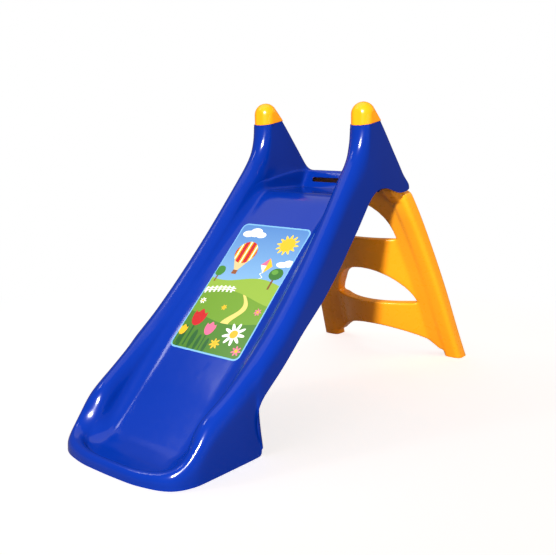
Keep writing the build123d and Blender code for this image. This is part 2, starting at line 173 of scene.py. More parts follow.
def rounded_ribs(corners, cuts, straight, turns):
    """Points along bent lines whose corners are cubic arcs.

    corners is rows x corners x 3. cuts is rows x inner corners x 2: how far an
    arc starts before its corner and ends after it, both shortened where two
    arcs would meet. A straight stretch between two arcs is a blend of its ends,
    and an arc is a cubic whose handles reach ROUND of the way to the corner.
    """
    step = np.diff(corners, axis=1)
    length = np.maximum(np.linalg.norm(step, axis=2), TINY)
    along = step / length[:, :, None]
    wanted = np.zeros_like(length)
    wanted[:, :-1] += cuts[:, :, 0]
    wanted[:, 1:] += cuts[:, :, 1]
    fits = np.minimum(1, 0.98 * length / np.maximum(wanted, TINY))
    before = cuts[:, :, 0] * fits[:, :-1]
    after = cuts[:, :, 1] * fits[:, 1:]
    start = corners[:, 1:-1] - along[:, :-1] * before[:, :, None]
    end = corners[:, 1:-1] + along[:, 1:] * after[:, :, None]
    points = []
    here = corners[:, 0]
    for k in range(start.shape[1] + 1):
        there = start[:, k] if k < start.shape[1] else corners[:, -1]
        share = np.linspace(0, 1, straight[k] + 1)[None, :-1, None]
        points.append(here[:, None] * (1 - share) + there[:, None] * share)
        if k == start.shape[1]:
            points.append(there[:, None])
            break
        corner = corners[:, k + 1]
        p1 = start[:, k] + ROUND * (corner - start[:, k])
        p2 = end[:, k] + ROUND * (corner - end[:, k])
        u = np.linspace(0, 1, turns[k] + 1)[None, :-1, None]
        arc = start[:, k, None] * (1 - u) ** 3 + 3 * p1[:, None] * u * (1 - u) ** 2
        points.append(arc + 3 * p2[:, None] * u**2 * (1 - u) + end[:, k, None] * u**3)
        here = end[:, k]
    return np.concatenate(points, axis=1)


# %% [markdown]
# ## The chute's lines
#
# t runs along the top of one rail in centimetres: 0 at the middle of the exit
# lip, 28 to 94 up the slope, 108 to 121 over the handle, and 161 at the middle
# of the back. The slope's stations give the rail's centre, its top and the
# half width of the deck; the deck itself is straight and then rounds into the
# seat.

# %% Deck height
SEAT_Z = 503.0
DECK_RISE = 0.9135
DECK_AT = (-30.0, 428.0)
BROW = 26.0


def deck_height(y):
    """The lower of the straight slope and the level seat, joined by a parabola where they meet."""
    slope = DECK_AT[1] + DECK_RISE * (y - DECK_AT[0])
    near = np.maximum(BROW - np.abs(slope - SEAT_Z), 0)
    return np.minimum(slope, SEAT_Z) - near**2 / (4 * BROW)


# %% Rail stations up the slope
# t, Y, rail centre, rail top, deck where it isn't straight, deck's half width, side's steepness
slope_stations = [
    (27.7, -470, 156.0, 106, 32.0, 104, 0.80),
    (33.6, -420, 159.5, 138, 72.0, 106, 0.76),
    (42.0, -350, 163.0, 184, None, 106, 0.66),
    (52.0, -270, 163.5, 244, None, 106, 0.60),
    (62.8, -190, 160.5, 316, None, 106, 0.60),
    (74.2, -110, 155.0, 397, None, 106, 0.64),
    (86.2, -30, 149.5, 486, None, 106, 0.75),
    (93.8, 20, handle_x, 543, None, 101, 0.90),
]
RAIL = 28.0


def slope_corners(row):
    """Corners of a rib on the slope: rail top out to its side, in to the wall, down to the deck."""
    t, y, centre, top, deck, half, steep = row
    deck = deck_height(y) if deck is None else deck
    lean = (centre - half) * (1 - steep) / 2
    middle = (centre + half) / 2
    outer, inner = (t, centre + RAIL, y, top), (t, middle + lean, y, top)
    ledge, foot = (t, middle, y, (top + deck) / 2), (t, middle - lean, y, deck)
    return outer, inner, ledge, foot, (t, 0, y, deck)


columns = list(zip(*[slope_corners(row) for row in slope_stations]))
print("slope:", len(slope_stations), "stations of", len(columns), "corners")


def at_x(x, *rows):
    """Rows of t, Y and Z as points of a line at one X."""
    return [(t, x, y, z) for t, y, z in rows]


def to_middle(y, z):
    """The last points of a line along the back step, in to X = 0."""
    return [(147.1, 68, y, z), (153.6, 34, y, z), (160.6, 0, y, z)]


# %% Lines of the outer top corner and the inner top corner
# t, Y and Z of both corners over a handle
over_handle = [
    (101.6, 66, 606), (105.2, 77, 640), (108.4, 81.5, 672), (110.7, 84, 696), (112.6, 92, 713),
    (114.5, 112, 714), (117.3, 134, 694), (120.8, 153, 673.4), (126.3, 190, 633.3),
]
outer_line = [
    (0, 0, -582.2, 25), (6, 60, -580.7, 25.2), (11.8, 115, -571, 27.5), (15.8, 151, -555.5, 34),
    (18.9, 169.5, -532, 46), (22.5, 179, -504, 70), *columns[0],
    *at_x(handle_out, (98.2, 48, 577), *over_handle, (131.9, 228, 592.1), (135.6, 253, 564.9),
          (139.2, 277.5, 538.4)),
    (143.1, handle_out - 3, 301.5, 512.4), (147.1, 135, 301.5, 512.4), (153.6, 68, 301.5, 512.4),
    (160.6, 0, 301.5, 512.4),
]
inner_line = [
    (0, 0, -565.5, 25), (6, 57, -564, 25.2), (11.8, 106, -552, 27.5), (15.8, 134, -536, 34),
    (18.9, 145, -520, 46), (22.5, 148, -500, 70), *columns[1], (98.2, handle_in + 1, 48, 577),
    *at_x(handle_in, *over_handle, (131.9, 226, 594.2), (134.6, 246, 572.5)),
    (137.2, handle_in - 1.5, 260.5, 556.8), (139.4, handle_in - 7, 267.5, 549.2),
    (141.4, handle_in - 16, 270, 546.6), (143.6, 90, 270, 546.6), *to_middle(270, 546.6),
]

# %% Lines of the ledge, the deck corner and the middle
# In the deck corner and the middle, a Z of 0 stands for the deck's own height.
ledge_line = [
    (0, 0, -560.5, 18.5), (6, 56, -559, 18.6), (11.8, 99, -548.5, 20), (15.8, 121, -534, 23.5),
    (18.9, 131, -519, 30), (22.5, 133, -499, 44), *columns[2],
    (98.2, handle_in - 1, 56, 526), (101.6, handle_in - 3, 80, 528),
    *at_x(handle_in - 4, (105.2, 99, 531), (108.4, 112, 533.5), (112.6, 129, 536),
          (117.3, 148, 539), (120.8, 163, 541), (126.3, 185, 544), (131.9, 208, 546.3),
          (134.6, 221, 547)),
    (137.2, handle_in - 4.5, 234, 547.2), (139.4, handle_in - 7.5, 244, 547.2),
    (141.4, handle_in - 16, 249, 547.2), (143.6, 90, 250, 547.2), *to_middle(250, 547.2),
]
foot_line = [
    (0, 0, -556, 12.3), (6, 55, -554.5, 12.4), (11.8, 92, -546, 12.8), (15.8, 108, -532, 13.4),
    (18.9, 116, -518, 14.6), (22.5, 118, -498, 19.5), *columns[3],
    *at_x(handle_in - 5, (98.2, 54, 0), (101.6, 80, 0), (105.2, 99, 0), (108.4, 112, 0),
          (112.6, 129, 0), (117.3, 148, 0), (120.8, 162, 0), (126.3, 182, 0), (131.9, 201, 0),
          (134.6, 210, 0)),
    (137.2, handle_in - 5.5, 218.5, 0), (139.4, handle_in - 8.5, 223.5, 0),
    (141.4, handle_in - 17, 225, 0), (143.6, 89, 225, 0), *to_middle(225, 0),
]
middle_line = [
    *at_x(0, (0, -541, 12.3), (6, -538, 12.4), (11.8, -532, 12.8), (15.8, -523, 13.6),
          (18.9, -511, 15.5), (22.5, -493, 21)),
    *columns[4],
    *at_x(0, (98.2, 52, 0), (101.6, 80, 0), (105.2, 99, 0), (108.4, 113, 0), (112.6, 130, 0),
          (117.3, 149, 0), (120.8, 162, 0), (126.3, 180, 0), (131.9, 194, 0), (135.6, 202, 0),
          (139.2, 207, 0), (143.1, 211, 0), (147.1, 214, 0), (153.6, 217, 0), (160.6, 219, 0)),
]

# %% Line of the skirt's edge
edge_line = [
    (0, 0, exit_y, 0), (6, 60, -581.5, 0), (11.8, 116, -572, 0), (15.8, 152, -556.5, 0),
    (18.9, 170.5, -533, 0), (22.5, 179.5, -505, 0), (27.7, 182.5, -468, 0), (33.6, 186, -412, 0),
    (37.0, 188.5, -370, 0), (39.0, 189.5, -344, 0), (39.6, 190, -336, 1.0), (40.0, 190.3, -332.5, 5),
    (40.4, 190.8, -332, 11), (41.2, 191.8, -338, 30), (42.2, 193, -346.5, 52), (43.4, 194, -351, 78),
    (44.6, 194.6, -347, 102), (46.0, 194.9, -334, 123), (48.0, 195, -311, 141),
    (52.0, 194.7, -270, 170), (62.8, 192, -190, 231.5), (74.2, 187.5, -110, 285.5),
    (86.2, 181.5, -30, 350.5), (93.8, 178.5, 20, 399.5),
    (98.2, 177.8, 48, 428), (101.6, 177.3, 75, 459), (105.2, 177, 95, 482.5), (108.4, 177, 109, 496.5),
    (110.7, 177, 119, 504), (112.6, 177, 128, 509), (114.5, 177, 139, 513), (117.3, 177, 153, 515.5),
    (120.8, 176.8, 171, 515.8), (126.3, 176.5, 200, 511), (131.9, 176.2, 228, 503.5),
    (135.6, 176, 252, 499.3),
    (139.2, 175.6, 281, 501), (141.4, 175.2, 297, 505.5), (143.1, handle_out - 3, 303.8, 509.8),
    (147.1, 135, 303.9, 509.6), (153.6, 68, 303.9, 509.6), (160.6, 0, 303.9, 509.6),
]

# %% The ledge's depth, and the roundings before and after each corner
# t and how deep the ledge is set in
ledge_step = [(0, 0.1), (94, 0.1), (99, 1), (105.2, 3.6), (131, 3.6), (140, 3), (160.6, 3)]
# t, then two lengths for each corner from the outer top corner to the deck corner
roundings = [
    (0, 15, 9, 5, 7, 0, 0, 0, 0, 6, 9), (11.8, 17, 12, 6, 8, 0, 0, 0, 0, 8, 12),
    (15.8, 22, 15, 9, 12, 0, 0, 0, 0, 12, 18), (18.9, 29, 20, 13, 20, 0, 0, 0, 0, 19, 24),
    (22.5, 36, 26, 18, 30, 0, 0, 0, 0, 30, 28), (27.7, 36, 28, 24, 90, 0, 0, 0, 0, 90, 30),
    (42, 35, 28, 23, 90, 0, 0, 0, 0, 90, 30), (62.8, 38, 28, 23, 90, 0, 0, 0, 0, 90, 30),
    (74.2, 40, 28, 24, 90, 0, 0, 0, 0, 90, 28), (86.2, 42, 28, 24, 90, 0, 0, 0, 0, 60, 24),
    (93.8, 44, 27.7, 25, 60, 0, 0, 0, 0, 30, 18), (98.2, 50, 27.7, 27, 55, 1, 1, 1, 1, 14, 12),
    (101.6, 60, 27.7, 27.7, 60, 2, 2, 1.5, 1.5, 9, 9), (105.2, 72, 27.7, 27.7, 62, 2, 2, 1.5, 1.5, 8, 8),
    (108.4, 78, 27.7, 27.7, 66, 2, 2, 1.5, 1.5, 8, 8), (110.7, 66, 27.5, 27.5, 60, 2, 2, 1.5, 1.5, 8, 8),
    (112.6, 46, 27, 27, 44, 2, 2, 1.5, 1.5, 8, 8), (114.5, 32, 24, 24, 32, 2, 2, 1.5, 1.5, 8, 8),
    (117.3, 20, 12, 12, 20, 2, 2, 1.5, 1.5, 8, 8), (119.6, 11, 8, 8, 11, 2, 2, 1.5, 1.5, 8, 8),
    (131.9, 9, 8, 7, 8, 2, 2, 2, 2, 9, 9), (137.2, 9, 7, 7, 8, 1, 1, 4, 5, 10, 10),
    (143.1, 1, 1, 7, 7.5, 0, 0, 7, 9, 12, 12), (160.6, 1, 1, 7, 7.5, 0, 0, 7, 9, 12, 12),
]

# %% [markdown]
# ## The chute's skin
#
# The rows are closer together where the skin turns quickly: round the exit's
# corners, over the handles and round the back step.

# %% Work out the skin as a grid
rows = np.concatenate([
    np.linspace(0, 28, 80)[:-1], np.linspace(28, 38.6, 16)[:-1], np.linspace(38.6, 46, 32)[:-1],
    np.linspace(46, 94, 62)[:-1], np.linspace(94, 122, 84)[:-1], np.linspace(122, 148, 74)[:-1],
    np.linspace(148, 160.6, 14),
])
TRAY_END, TRAY_BLEND = 36, 6


def on_deck(line, t):
    """A line in the deck: splined in the tray, and at deck_height on the slope and the seat."""
    points = flowing([(s, x, y, z or deck_height(y)) for s, x, y, z in line], t)
    share = np.clip((t - TRAY_END) / TRAY_BLEND, 0, 1)
    points[:, 2] += share * (deck_height(points[:, 1]) - points[:, 2])
    return points


def skin_grid(t):
    """Half of the chute's skin: rows x points x 3, in millimetres."""
    edge = steady(edge_line, t)
    middle, foot = on_deck(middle_line, t), on_deck(foot_line, t)
    ledge, inner, outer = flowing(ledge_line, t), flowing(inner_line, t), flowing(outer_line, t)
    middle[:, 0] = 0
    upward = inner - ledge
    upward /= np.linalg.norm(upward, axis=1)[:, None]
    step = steady(ledge_step, t)
    root = ledge + 0.6 * step * upward
    furthest = np.maximum(inner[:, 0], ledge[:, 0] + 0.05)
    root[:, 0] = np.minimum(root[:, 0] + 1.1 * step[:, 0], furthest)
    corners = np.stack([edge, outer, inner, root, ledge, foot, middle], axis=1)
    cuts = steady(roundings, t).reshape(len(t), 5, 2)
    return rounded_ribs(corners, cuts, straight=(8, 3, 5, 1, 4, 11), turns=(9, 8, 3, 3, 7))


half = skin_grid(rows)
print("skin grid:", half.shape, "from", half.min((0, 1)).round(1), "to", half.max((0, 1)).round(1))


# %% Turn a grid into half a mesh and mirror it
def grid_faces(count, width):
    """Four-cornered faces of a grid of count rows by width points."""
    i = np.arange(count * width).reshape(count, width)
    return np.stack([i[:-1, :-1], i[:-1, 1:], i[1:, 1:], i[1:, :-1]], axis=2).reshape(-1, 4)


def new_mesh(name, points, faces):
    """A mesh object at the origin from points in millimetres."""
    mesh = bpy.data.meshes.new(name)
    points = np.asarray(points).reshape(-1, 3) * MM
    mesh.from_pydata(points.tolist(), [], [list(face) for face in faces])
    mesh.validate()
    piece = bpy.data.objects.new(name, mesh)
    bpy.context.scene.collection.objects.link(piece)
    return piece


def edit(piece, change):
    """Run change(bm) on a piece's mesh and write it back."""
    bm = bmesh.new()
    bm.from_mesh(piece.data)
    change(bm)
    bm.to_mesh(piece.data)
    bm.free()


def both_halves(grid, name):
    """The grid and its mirror image, joined along X = 0, with faces turned outwards."""
    faces = grid_faces(*grid.shape[:2])
    points = grid.reshape(-1, 3)
    mirror = points * (-1, 1, 1)
    faces = np.vstack([faces, faces[:, ::-1] + len(points)])
    piece = new_mesh(name, np.vstack([points, mirror]), faces)
    edit(piece, lambda bm: bmesh.ops.remove_doubles(bm, verts=bm.verts, dist=0.04 * MM))
    return piece


def face_up(bm):
    """Turn all faces one way, with the highest one looking up: outwards, on an open skin."""
    bmesh.ops.recalc_face_normals(bm, faces=bm.faces)
    if max(bm.faces, key=lambda face: face.calc_center_median().z).normal.z < 0:
        bmesh.ops.reverse_faces(bm, faces=bm.faces)


# %% Close the handles under their caps, then give the skin its wall
CAP_JOINT = Vector((0, 0.112, 0.673))
CAP_TILT = math.radians(10)
cap_normal = Vector((0, -math.sin(CAP_TILT), math.cos(CAP_TILT)))
WALL = 3.2
GROOVE = 1.1
PLATE_SHARE = 0.9


def cut_handles(bm):
    """Cut both handles off just under their caps, and close each with a plate.

    The plate's middle stands up to the cap, so a groove runs round under the cap's edge.
    """
    everything = bm.verts[:] + bm.edges[:] + bm.faces[:]
    level = CAP_JOINT - GROOVE * MM * cap_normal

    def at_level(vert):
        return abs((vert.co - level).dot(cap_normal)) < 1e-5

    bmesh.ops.bisect_plane(bm, geom=everything, plane_co=level, plane_no=cap_normal, clear_outer=True)
    rim = [edge for edge in bm.edges if edge.is_boundary and all(map(at_level, edge.verts))]
    bmesh.ops.edgeloop_fill(bm, edges=rim)
    bm.normal_update()
    plates = [face for face in bm.faces if len(face.verts) > 4]
    for plate in plates:
        if plate.normal.z < 0:
            plate.normal_flip()
    for plate in bmesh.ops.extrude_discrete_faces(bm, faces=plates)["faces"]:
        middle = plate.calc_center_median()
        for corner in plate.verts:
            corner.co = middle + PLATE_SHARE * (corner.co - middle) + GROOVE * MM * cap_normal


def smooth(piece, angle=40):
    """Shade a piece smooth except along edges sharper than an angle."""
    piece.data.shade_smooth()
    piece.data.set_sharp_from_angle(angle=math.radians(angle))


def settle(piece):
    """Make a piece's modifiers permanent."""
    graph = bpy.context.evaluated_depsgraph_get()
    mesh = bpy.data.meshes.new_from_object(piece.evaluated_get(graph))
    piece.modifiers.clear()
    piece.data = mesh


def keep_inside(piece, node):
    """Hold every point of a piece within the box of the node that it stands for."""
    points = np.empty(3 * len(piece.data.vertices))
    piece.data.vertices.foreach_get("co", points)
    low, high = np.array(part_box(node))
    low[2] = max(low[2], 0)
    points = np.clip(points.reshape(-1, 3), low, high)
    piece.data.vertices.foreach_set("co", points.ravel())


def cut(piece, cutters):
    """Take closed cutters out of a piece and delete them."""
    for cutter in cutters:
        change = piece.modifiers.new("cut", "BOOLEAN")
        change.operation, change.solver, change.object = "DIFFERENCE", "EXACT", cutter
        settle(piece)
        bpy.data.objects.remove(cutter)


def ring_faces(count, around, close=True):
    """Faces of count rings of points, each ring closed, with the first and last ring filled."""
    i = np.arange(count * around).reshape(count, around)
    j = np.roll(i, -1, axis=1)
    faces = np.stack([i[:-1], j[:-1], j[1:], i[1:]], axis=2).reshape(-1, 4).tolist()
    if close:
        faces += [i[0, ::-1].tolist(), i[-1].tolist()]
    return faces


def prism(name, outline, start, end, axis=0):
    """An outline in the two other axes, extruded along one axis from start to end."""
    outline = np.array(outline, float)
    rings = np.stack([np.insert(outline, axis, place, axis=1) for place in (start, end)])
    piece = new_mesh(name, rings, ring_faces(2, len(outline)))
    edit(piece, lambda bm: bmesh.ops.recalc_face_normals(bm, faces=bm.faces))
    return piece


def joined(name, pieces):
    """Several meshes as one object."""
    bm = bmesh.new()
    for piece in pieces:
        bm.from_mesh(piece.data)
        bpy.data.objects.remove(piece)
    mesh = bpy.data.meshes.new(name)
    bmesh.ops.recalc_face_normals(bm, faces=bm.faces)
    bm.to_mesh(mesh)
    bm.free()
    whole = bpy.data.objects.new(name, mesh)
    bpy.context.scene.collection.objects.link(whole)
    return whole


chute_skin = both_halves(half, "chute_skin")
edit(chute_skin, cut_handles)
edit(chute_skin, face_up)
skin_wall = chute_skin.modifiers.new("wall", "SOLIDIFY")
skin_wall.thickness, skin_wall.offset = WALL * MM, -1
settle(chute_skin)
print("chute skin:", len(chute_skin.data.polygons), "faces")

# %% [markdown]
# ## The grip slot
#
# A hand hole in the back step: a stadium-shaped cutter taken out of the skin.

# %% Cut the slot
SLOT_HALF, SLOT_RADIUS, SLOT_Z = 88.0, 6.0, 523.0
SLOT_FRONT, SLOT_REAR = 215, 256


def arc(middle, radius, start, end, count=13):
    """Points along an arc, with angles in degrees."""
    a = np.radians(np.linspace(start, end, count))
    return np.array(middle) + radius * np.stack([np.cos(a), np.sin(a)], axis=1)


slot_end = arc((SLOT_HALF - SLOT_RADIUS, SLOT_Z), SLOT_RADIUS, -90, 90)
slot_outline = np.vstack([slot_end, slot_end[::-1] * (-1, 1)])
cut(chute_skin, [prism("slot_cutter", slot_outline, SLOT_FRONT, SLOT_REAR, axis=1)])
keep_inside(chute_skin, "chute")
smooth(chute_skin)
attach(chute_skin, "chute_body")
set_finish(chute_skin, "chute_plastic")
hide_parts("chute")
print("slot cut:", len(chute_skin.data.polygons), "faces")

# %% [markdown]
# ## Inside the chute
#
# Seen from behind and below, the chute is open. Four low ribs stiffen the deck,
# two cheeks and two bosses carry the hinge, and a short rib beside each hinge
# stops the opened ladder. They are flat mouldings, so each is a prism, with
# softened edges.

# %% Make the ribs, cheeks and bosses
RIB_AT = (-60, -170, -280, -390)
RIB_THICK, RIB_DEPTH, RIB_HALF = 3.0, 8.6, 98.0
CHEEK_IN, CHEEK_THICK, CHEEK_RADIUS = 122.9, 4.5, 15.0
CHEEK_FRONT, STEP_UNDER = 226.6, 545.8
BOSS_IN, BOSS_RADIUS = 160.6, 12.0
STOP_IN, STOP_OUT, STOP_FRONT = 136.0, 154.0, 283.4
SOFT_EDGE = 0.5


def rib(y):
    """A rib under the deck: a rectangle square to the deck, in the plane of Y and Z."""
    uphill = np.array([math.cos(deck_angle), math.sin(deck_angle)])
    below = np.array([math.sin(deck_angle), -math.cos(deck_angle)])
    top = np.array([y, deck_height(np.array(float(y)))]) + 0.5 * WALL * below
    corners = [top - uphill * RIB_THICK / 2, top + uphill * RIB_THICK / 2]
    corners += [corners[1] + below * RIB_DEPTH, corners[0] + below * RIB_DEPTH]
    return prism("rib", corners, -RIB_HALF, RIB_HALF)


def hinge_forms(side):
    """The cheek, the boss and the stop beside one hinge."""
    hinge = (hinge_y, hinge_z)
    cheek = [
        (CHEEK_FRONT, SEAT_Z - WALL), (CHEEK_FRONT, SEAT_Z), (251, STEP_UNDER), (268, STEP_UNDER),
        (287, hinge_z + 8), (hinge_y + 14.5, hinge_z - 4), *arc(hinge, CHEEK_RADIUS, -15, -165),
    ]
    boss = arc(hinge, BOSS_RADIUS, 0, 345, 24)
    stop = [(STOP_FRONT, hinge_z - 9), (STOP_FRONT, hinge_z), (hinge_y + 36.5, hinge_z), (300, 508)]
    return [
        prism("cheek", cheek, side * CHEEK_IN, side * (CHEEK_IN + CHEEK_THICK)),
        prism("boss", boss, side * BOSS_IN, side * (handle_out - 0.5 * WALL)),
        prism("stop", stop, side * STOP_IN, side * STOP_OUT),
    ]


def soften(piece):
    """Give a piece's sharp edges a narrow rounding."""
    soft = piece.modifiers.new("soft", "BEVEL")
    soft.width, soft.segments = SOFT_EDGE * MM, 2
    soft.limit_method, soft.angle_limit = "ANGLE", math.radians(50)


deck_angle = math.atan(DECK_RISE)
inside = joined("chute_inside", [rib(y) for y in RIB_AT] + hinge_forms(1) + hinge_forms(-1))
soften(inside)
settle(inside)
smooth(inside)
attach(inside, "chute_body")
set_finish(inside, "chute_plastic")
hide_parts("chute")
print("inside the chute:", len(inside.data.polygons), "faces")

# %% [markdown]
# ## The handle caps
#
# Each cap is the tightest skin over a ball and the outline of the handle at
# the joint. From each point of that outline a flat rib runs up to where it
# touches the ball, and an arc carries on over the ball to its top. The handle's
# outline is a rectangle with round corners, larger ones at the front.

# %% Work out a cap
BALL = handle_half + 1.2
BALL_AT = np.array([0, 109.0, cap_high[2] - BALL])
CAP_WALL = 2.6
# Where the joint starts and ends along its plane, and the corner radius there
JOINT_FRONT, JOINT_REAR = (-31.6, 26.5), (41.2, 10.0)
joint_at = np.array([0, CAP_JOINT.y, CAP_JOINT.z]) / MM
joint_along = np.array([0, math.cos(CAP_TILT), math.sin(CAP_TILT)])


def cap_outline(count):
    """Points around the joint: X, distance along the joint plane and direction of travel."""
    corners = []
    for quarter, (side, (along, radius)) in enumerate([
        (1, JOINT_FRONT), (1, JOINT_REAR), (-1, JOINT_REAR), (-1, JOINT_FRONT),
    ]):
        a = np.radians(np.linspace(90 * quarter - 90, 90 * quarter, count))
        x = side * (handle_half - radius) + radius * np.cos(a)
        y = along - math.copysign(radius, along) + radius * np.sin(a)
        corners.append(np.stack([x, y, a], axis=1))
    return np.vstack(corners)


def cap_grid(x_middle):
    """Rings from the joint up to the ball and over it: rows x around x 3."""
    ring = cap_outline(18)
    base = joint_at + ring[:, :1] * (1, 0, 0) + ring[:, 1:2] * joint_along
    travel = -np.sin(ring[:, 2:]) * (1, 0, 0) + np.cos(ring[:, 2:]) * joint_along
    to_ball = BALL_AT - base
    side = np.cross(travel, (0, 0, 1.0))
    side /= np.linalg.norm(side, axis=1)[:, None]
    over = np.cross(side, travel)
    a, b = (side * to_ball).sum(1), (over * to_ball).sum(1)
    reach = np.arccos(np.clip(-BALL / np.hypot(a, b), -1, 1))
    lean = np.arctan2(b, a) + reach
    other = np.arctan2(b, a) - reach
    lean = np.where(np.sin(lean) > np.sin(other), lean, other)
    out = np.cos(lean)[:, None] * side + np.sin(lean)[:, None] * over
    touch = BALL_AT + BALL * out
    rise = np.linspace(0, 1, 7)[:, None, None]
    lower = base * (1 - rise) + touch * rise
    tilt = np.arccos(np.clip(out[:, 2], -1, 1))
    flat = out * (1, 1, 0)
    flat /= np.linalg.norm(flat, axis=1)[:, None]
    left = np.linspace(1, 0.02, 16)[1:, None, None] * tilt[None, :, None]
    upper = BALL_AT + BALL * (np.sin(left) * flat + np.cos(left) * (0, 0, 1.0))
    return np.concatenate([lower, upper]) + (x_middle, 0, 0)


def make_cap(side, name):
    """One cap: its rings closed at the top, given a wall, and rounded at the joint."""
    grid = cap_grid(side * handle_x)
    rings, around = grid.shape[:2]
    faces = ring_faces(rings, around, close=False)
    faces.append(list(range((rings - 1) * around, rings * around)))
    cap = new_mesh("cap_skin_" + name, grid, faces)
    edit(cap, lambda bm: bmesh.ops.recalc_face_normals(bm, faces=bm.faces))
    wall = cap.modifiers.new("wall", "SOLIDIFY")
    wall.thickness, wall.offset = CAP_WALL * MM, -1
    soften(cap)
    settle(cap)
    keep_inside(cap, "handle_cap_" + name)
    smooth(cap, 60)
    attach(cap, "chute_body")
    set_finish(cap, "cap_plastic")
    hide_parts("handle_cap_" + name)
    return cap


caps = [make_cap(1, "left"), make_cap(-1, "right")]
print("caps:", [len(cap.data.polygons) for cap in caps])

# %% [markdown]
# ## The ladder
#
# The ladder is one hollow moulding with soft edges everywhere: two leaning
# legs, a curved web with three openings between them, and a hinge knuckle on
# each leg. The forms are made plainly, joined and re-skinned at an even
# spacing, and the new skin is relaxed so that every edge and every crease gets
# the soft rounding of a blown part.

# %% The ladder's lines
# Z, then Y, X, width and depth of a leg
leg_line = [
    (-6, 558.9, 212.7, 52, 54), (90, 512.5, 201.5, 51, 54), (200, 461, 189, 50, 55),
    (300, 411.5, 176, 49, 57), (400, 356, 163, 48, 60), (450, 325.5, 156.5, 47, 62),
    (500, 298, 149, 43, 58),
]
# Z, then rear Y, scoop, half width of the scoop and thickness of the web
web_line = [
    (20, 570, 72, 130, 48), (165, 493, 60, 119, 41), (300, 423, 42, 103, 37), (360, 388, 32, 93, 34),
    (440, 331, 12, 70, 25), (480, 300, 5, 55, 18), (506, 281, 0, 50, 20),
]
LEG_ROUND, LEG_FOOT, LEG_TOP, DOME, LEG_ROWS = 14.0, -6.0, 490.0, 13.0, 70
WEB_FOOT, WEB_TOP, TUCK_Z, TUCK_HALF = 20.0, 506.0, 496.5, 118.0
# Tread height, half width and height of each opening
OPENINGS = [(360, 110, 110), (166, 134, 103), (18, 176, 74)]
KNUCKLE_IN, KNUCKLE_OUT, KNUCKLE_RADIUS = 128, 160, 25
KNUCKLE_NECK = [(286, 468), (306, 468)]


def round_rectangle(width, depth, radius, count=7):
    """Unit outline of a rectangle with round corners, as X and Y offsets for each row of sizes."""
    a = np.linspace(0, math.pi / 2, count)
    corner = np.concatenate([a, a + math.pi / 2, a + math.pi, a + 1.5 * math.pi])
    sx, sy = np.repeat((1, -1, -1, 1), count), np.repeat((1, 1, -1, -1), count)
    x = sx * (width[:, None] / 2 - radius) + radius * np.cos(corner)
    y = sy * (depth[:, None] / 2 - radius) + radius * np.sin(corner)
    return x, y


def leg(side):
    """A leg as rings of a rounded rectangle along a leaning, bending line, domed at its top."""
    rise = np.linspace(0, 1, 8)[1:]
    dome_z = LEG_TOP + DOME * np.sin(rise * math.pi / 2)
    z = np.concatenate([np.linspace(LEG_FOOT, LEG_TOP, LEG_ROWS), dome_z])
    y, x, width, depth = flowing(leg_line, z, across=False).T
    shrink = np.concatenate([np.zeros(LEG_ROWS), DOME * (1 - np.cos(rise * math.pi / 2))])
    across, along = round_rectangle(width - 2 * shrink, depth - 2 * shrink, LEG_ROUND)
    grid = np.stack([side * (x[:, None] + across), y[:, None] + along, z[:, None] + 0 * across], axis=2)
    return new_mesh("leg", grid, ring_faces(*grid.shape[:2]))


def web():
    """The web as a slab, scooped across by a parabola and leaning with the legs upwards."""
    z = np.linspace(WEB_FOOT, WEB_TOP, 94)
    rear, scoop, half, thick = steady(web_line, z).T
    end = flowing(leg_line, z, across=False)[:, 1]
    end = np.where(z > TUCK_Z, TUCK_HALF, end)
    u = np.linspace(-1, 1, 61)
    x = u[None, :] * end[:, None]
    back = rear[:, None] - scoop[:, None] * np.clip(1 - (x / half[:, None]) ** 2, 0, None)
    wide = half[:, None] + 15
    front = rear[:, None] - thick[:, None] - scoop[:, None] * np.clip(1 - (x / wide) ** 2, 0, None)
    height = z[:, None] + 0 * x
    back, front = np.stack([x, back, height], axis=2), np.stack([x, front, height], axis=2)
    slab = np.concatenate([back, front[:, ::-1]], axis=1)
    return new_mesh("web", slab, ring_faces(*slab.shape[:2]))


def opening(tread, half, high):
    """Cutter for an opening: level at the bottom, arched over by one arc."""
    radius = (half**2 + high**2) / (2 * high)
    reach = math.degrees(math.asin(min(1, half / radius)))
    outline = arc((0, tread + high - radius), radius, 90 + reach, 90 - reach, 49)
    return prism("opening", outline, 200, 700, axis=1)


def knuckle(side):
    """Hinge knuckle: a disc about the hinge and a neck that slopes back into its leg."""
    outline = [*arc((hinge_y, hinge_z), KNUCKLE_RADIUS, -30, 232, 33), *KNUCKLE_NECK]
    return prism("knuckle", outline, side * KNUCKLE_IN, side * KNUCKLE_OUT)


# %% Make the ladder
BUSH_RADIUS, SPACING, RELAXING = 7.58, 2.8, 22
pierced = web()
edit(pierced, lambda bm: bmesh.ops.recalc_face_normals(bm, faces=bm.faces))
cut(pierced, [opening(*sizes) for sizes in OPENINGS])
ladder_skin = joined("ladder_skin", [pierced, leg(1), leg(-1), knuckle(1), knuckle(-1)])
again = ladder_skin.modifiers.new("skin", "REMESH")
again.mode, again.voxel_size = "VOXEL", SPACING * MM
relax = ladder_skin.modifiers.new("relax", "SMOOTH")
relax.factor, relax.iterations = 0.5, RELAXING
settle(ladder_skin)
bore = arc((hinge_y, hinge_z), BUSH_RADIUS, 0, 352.5, 48)
BORE_IN, BORE_OUT = KNUCKLE_IN - 8, KNUCKLE_OUT + 10
cut(ladder_skin, [prism("bore", bore, side * BORE_IN, side * BORE_OUT) for side in (1, -1)])
keep_inside(ladder_skin, "ladder")
smooth(ladder_skin, 80)
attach(ladder_skin, "ladder_body")
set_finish(ladder_skin, "ladder_plastic")
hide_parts("ladder")
print("ladder skin:", len(ladder_skin.data.polygons), "faces")

